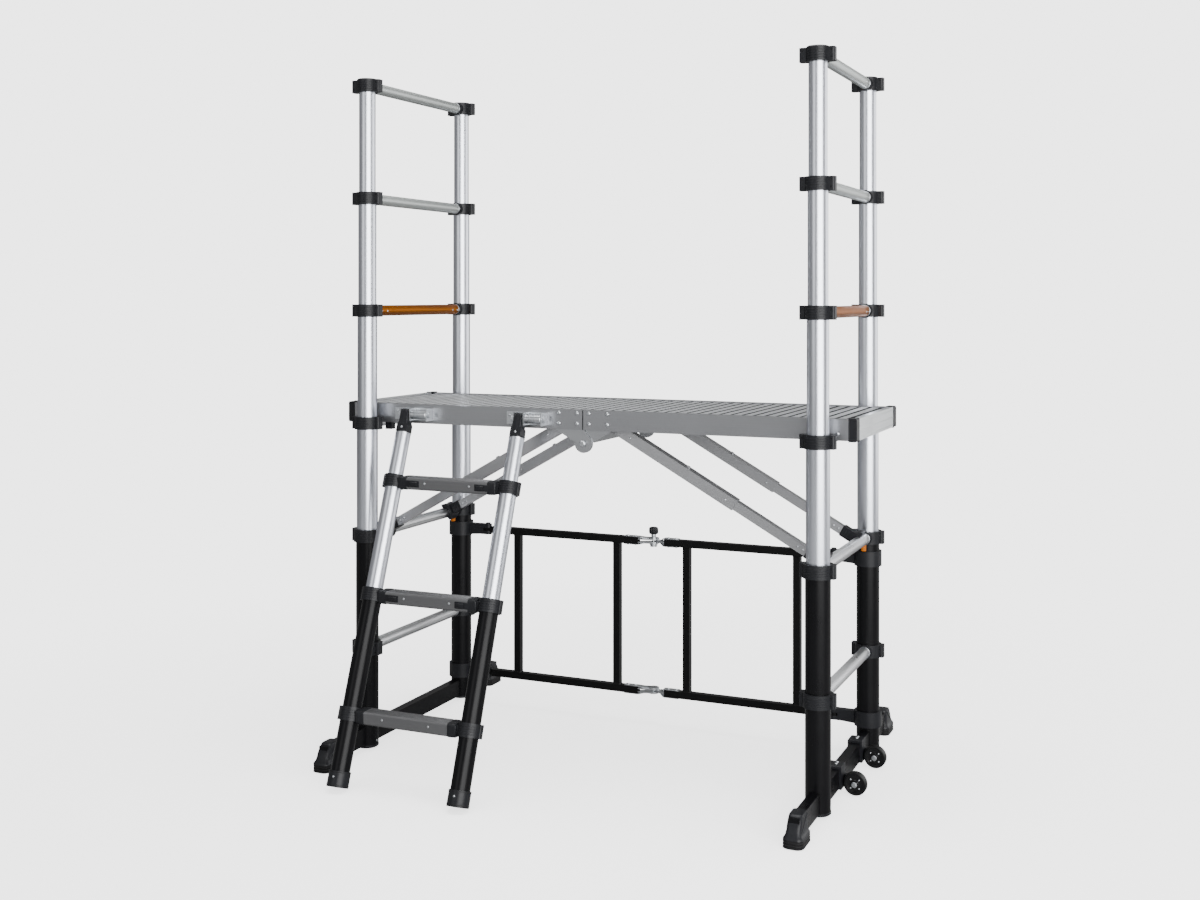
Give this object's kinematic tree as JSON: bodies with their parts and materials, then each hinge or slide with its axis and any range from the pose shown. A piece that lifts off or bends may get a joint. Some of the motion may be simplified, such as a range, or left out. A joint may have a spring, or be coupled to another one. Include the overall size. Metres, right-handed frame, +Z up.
{
  "type": "baker scaffold",
  "caption": "Folding telescopic scaffold: two ladder towers carry a slatted platform that folds at its middle, with a rear brace and a hook-on access ladder.",
  "frame": {"origin": "on the ground, in the middle of the whole object's footprint", "axes": "+X along the platform from the tower with the access ladder to the tower with wheels, +Y from the ladder's side to the rear brace, +Z up"},
  "size_m": [1.4, 1.0691, 1.7905],
  "materials": {
    "silver_tube": "satin anodised",
    "black_tube": "semi-gloss black coating",
    "black_plastic": "moulded black nylon",
    "mill_aluminium": "extruded mill finish",
    "grey_aluminium": "dark grey anodised, ribbed",
    "orange_aluminium": "orange anodised",
    "orange_plastic": "moulded orange nylon",
    "zinc_steel": "bright zinc plate",
    "black_steel": "black powder coat",
    "grey_rubber": "solid rubber wheel"
  },
  "bodies": {
    "left_tower": {"left_outer_stiles": "black_tube", "left_fixed_stiles": "silver_tube", "left_fixed_collars": "black_plastic", "left_fixed_rungs": "mill_aluminium", "left_base_bar": "black_tube", "left_feet": "black_plastic"},
    "left_section_4": {"left_stiles_4": "silver_tube", "left_collars_4": "black_plastic", "left_rung_4": "orange_aluminium"},
    "left_section_5": {"left_stiles_5": "silver_tube", "left_collars_5": "black_plastic", "left_rung_5": "mill_aluminium"},
    "left_section_6": {"left_stiles_6": "silver_tube", "left_collars_6": "black_plastic", "left_rung_6": "mill_aluminium"},
    "left_release": {"left_release_button": "orange_plastic"},
    "left_deck": {"left_deck_frame": "mill_aluminium", "left_deck_slats": "mill_aluminium", "left_deck_caps": "black_plastic", "left_deck_hinge": "zinc_steel"},
    "left_struts": {"left_strut_outers": "mill_aluminium"},
    "left_strut_slides": {"left_strut_inners": "mill_aluminium"},
    "left_brace": {"left_brace_frame": "black_steel"},
    "right_tower": {"right_outer_stiles": "black_tube", "right_fixed_stiles": "silver_tube", "right_fixed_collars": "black_plastic", "right_fixed_rungs": "mill_aluminium", "right_base_bar": "black_tube", "right_feet": "black_plastic", "wheel_brackets": "black_plastic"},
    "right_section_4": {"right_stiles_4": "silver_tube", "right_collars_4": "black_plastic", "right_rung_4": "orange_aluminium"},
    "right_section_5": {"right_stiles_5": "silver_tube", "right_collars_5": "black_plastic", "right_rung_5": "mill_aluminium"},
    "right_section_6": {"right_stiles_6": "silver_tube", "right_collars_6": "black_plastic", "right_rung_6": "mill_aluminium"},
    "right_release": {"right_release_button": "orange_plastic"},
    "right_deck": {"right_deck_frame": "mill_aluminium", "right_deck_slats": "mill_aluminium", "right_deck_caps": "black_plastic", "right_deck_hinge": "zinc_steel"},
    "right_struts": {"right_strut_outers": "mill_aluminium"},
    "right_strut_slides": {"right_strut_inners": "mill_aluminium"},
    "right_brace": {"right_brace_frame": "black_steel"},
    "front_wheel": {"front_wheel": "grey_rubber"},
    "rear_wheel": {"rear_wheel": "grey_rubber"},
    "brace_lock_pin": {"brace_lock_pin": "black_plastic"},
    "ladder_carrier": {"ladder_brackets": "zinc_steel"},
    "ladder_top": {"ladder_heads": "black_plastic", "ladder_top_stiles": "silver_tube"},
    "ladder_middle": {"ladder_middle_stiles": "silver_tube", "ladder_middle_collars": "black_plastic", "ladder_middle_tread": "grey_aluminium"},
    "ladder_lower": {"ladder_lower_stiles": "black_tube", "ladder_lower_collars": "black_plastic", "ladder_lower_treads": "grey_aluminium"}
  },
  "joints": [
    {"name": "deck_fold", "type": "hinge", "parent": "left_tower", "child": "left_deck", "pos_m": [-0.617, 0.05656, 0.871], "axis": [0, -1, 0], "range_deg": [0, 75]},
    {"name": "deck_centre", "type": "hinge", "parent": "left_deck", "child": "right_deck", "pos_m": [0, 0.05656, 0.837], "axis": [0, -1, 0], "range_deg": [-151, 0]},
    {"name": "right_tower_swing", "type": "hinge", "parent": "right_deck", "child": "right_tower", "pos_m": [0.617, 0.05656, 0.871], "axis": [0, -1, 0], "range_deg": [0, 76]},
    {"name": "left_strut_swing", "type": "hinge", "parent": "left_deck", "child": "left_struts", "pos_m": [-0.07, 0.05656, 0.878], "axis": [0, 1, 0], "range_deg": [0, 25]},
    {"name": "left_strut_slide", "type": "slide", "parent": "left_struts", "child": "left_strut_slides", "axis": [0.872, 0, 0.4894], "range_m": [0, 0.1]},
    {"name": "left_brace_fold", "type": "hinge", "parent": "left_tower", "child": "left_brace", "pos_m": [-0.525, 0.31256, 0.3], "axis": [0, 0, -1], "range_deg": [0, 82]},
    {"name": "left_section_4_slide", "type": "slide", "parent": "left_tower", "child": "left_section_4", "axis": [0, 0, 1], "range_m": [-0.224, 0]},
    {"name": "left_section_5_slide", "type": "slide", "parent": "left_section_4", "child": "left_section_5", "axis": [0, 0, 1], "range_m": [-0.26, 0]},
    {"name": "left_section_6_slide", "type": "slide", "parent": "left_section_5", "child": "left_section_6", "axis": [0, 0, 1], "range_m": [-0.26, 0]},
    {"name": "left_release_press", "type": "slide", "parent": "left_tower", "child": "left_release", "axis": [0, -1, 0], "range_m": [0, 0.005], "stiffness_N_per_m": 500},
    {"name": "right_strut_swing", "type": "hinge", "parent": "right_deck", "child": "right_struts", "pos_m": [0.07, 0.05656, 0.878], "axis": [0, -1, 0], "range_deg": [0, 25]},
    {"name": "right_strut_slide", "type": "slide", "parent": "right_struts", "child": "right_strut_slides", "axis": [-0.872, 0, 0.4894], "range_m": [0, 0.1]},
    {"name": "right_brace_fold", "type": "hinge", "parent": "right_tower", "child": "right_brace", "pos_m": [0.525, 0.31256, 0.3], "axis": [0, 0, 1], "range_deg": [0, 82]},
    {"name": "right_section_4_slide", "type": "slide", "parent": "right_tower", "child": "right_section_4", "axis": [0, 0, 1], "range_m": [-0.224, 0]},
    {"name": "right_section_5_slide", "type": "slide", "parent": "right_section_4", "child": "right_section_5", "axis": [0, 0, 1], "range_m": [-0.26, 0]},
    {"name": "right_section_6_slide", "type": "slide", "parent": "right_section_5", "child": "right_section_6", "axis": [0, 0, 1], "range_m": [-0.26, 0]},
    {"name": "right_release_press", "type": "slide", "parent": "right_tower", "child": "right_release", "axis": [0, -1, 0], "range_m": [0, 0.005], "stiffness_N_per_m": 500},
    {"name": "brace_lock_pull", "type": "slide", "parent": "left_brace", "child": "brace_lock_pin", "axis": [0, 0, 1], "range_m": [0, 0.012], "stiffness_N_per_m": 600},
    {"name": "front_wheel_spin", "type": "hinge", "parent": "right_tower", "child": "front_wheel", "pos_m": [0.665, -0.03044, 0.0295], "axis": [0, 1, 0], "continuous": true},
    {"name": "rear_wheel_spin", "type": "hinge", "parent": "right_tower", "child": "rear_wheel", "pos_m": [0.665, 0.18556, 0.0295], "axis": [0, 1, 0], "continuous": true},
    {"name": "ladder_carry", "type": "slide", "parent": "left_tower", "child": "ladder_carrier", "axis": [0, -1, 0], "range_m": [0, 0.25]},
    {"name": "ladder_tilt", "type": "hinge", "parent": "ladder_carrier", "child": "ladder_top", "pos_m": [-0.334, -0.18644, 0.896], "axis": [-1, 0, 0], "range_deg": [0, 40]},
    {"name": "ladder_middle_slide", "type": "slide", "parent": "ladder_top", "child": "ladder_middle", "axis": [0, 0.342, 0.9397], "range_m": [0, 0.08]},
    {"name": "ladder_lower_slide", "type": "slide", "parent": "ladder_middle", "child": "ladder_lower", "axis": [0, 0.342, 0.9397], "range_m": [0, 0.255]}
  ],
  "couplings": [
    {"joint": "deck_centre", "follows": "deck_fold", "ratio": -2},
    {"joint": "right_tower_swing", "follows": "deck_fold", "ratio": 1},
    {"joint": "left_strut_swing", "follows": "deck_fold", "ratio": 0.3267},
    {"joint": "left_brace_fold", "follows": "deck_fold", "ratio": 1.08},
    {"joint": "right_strut_swing", "follows": "deck_fold", "ratio": 0.3267},
    {"joint": "right_brace_fold", "follows": "deck_fold", "ratio": 1.08},
    {"joint": "ladder_carry", "follows": "deck_fold", "m_per_rad": 0.19}
  ]
}
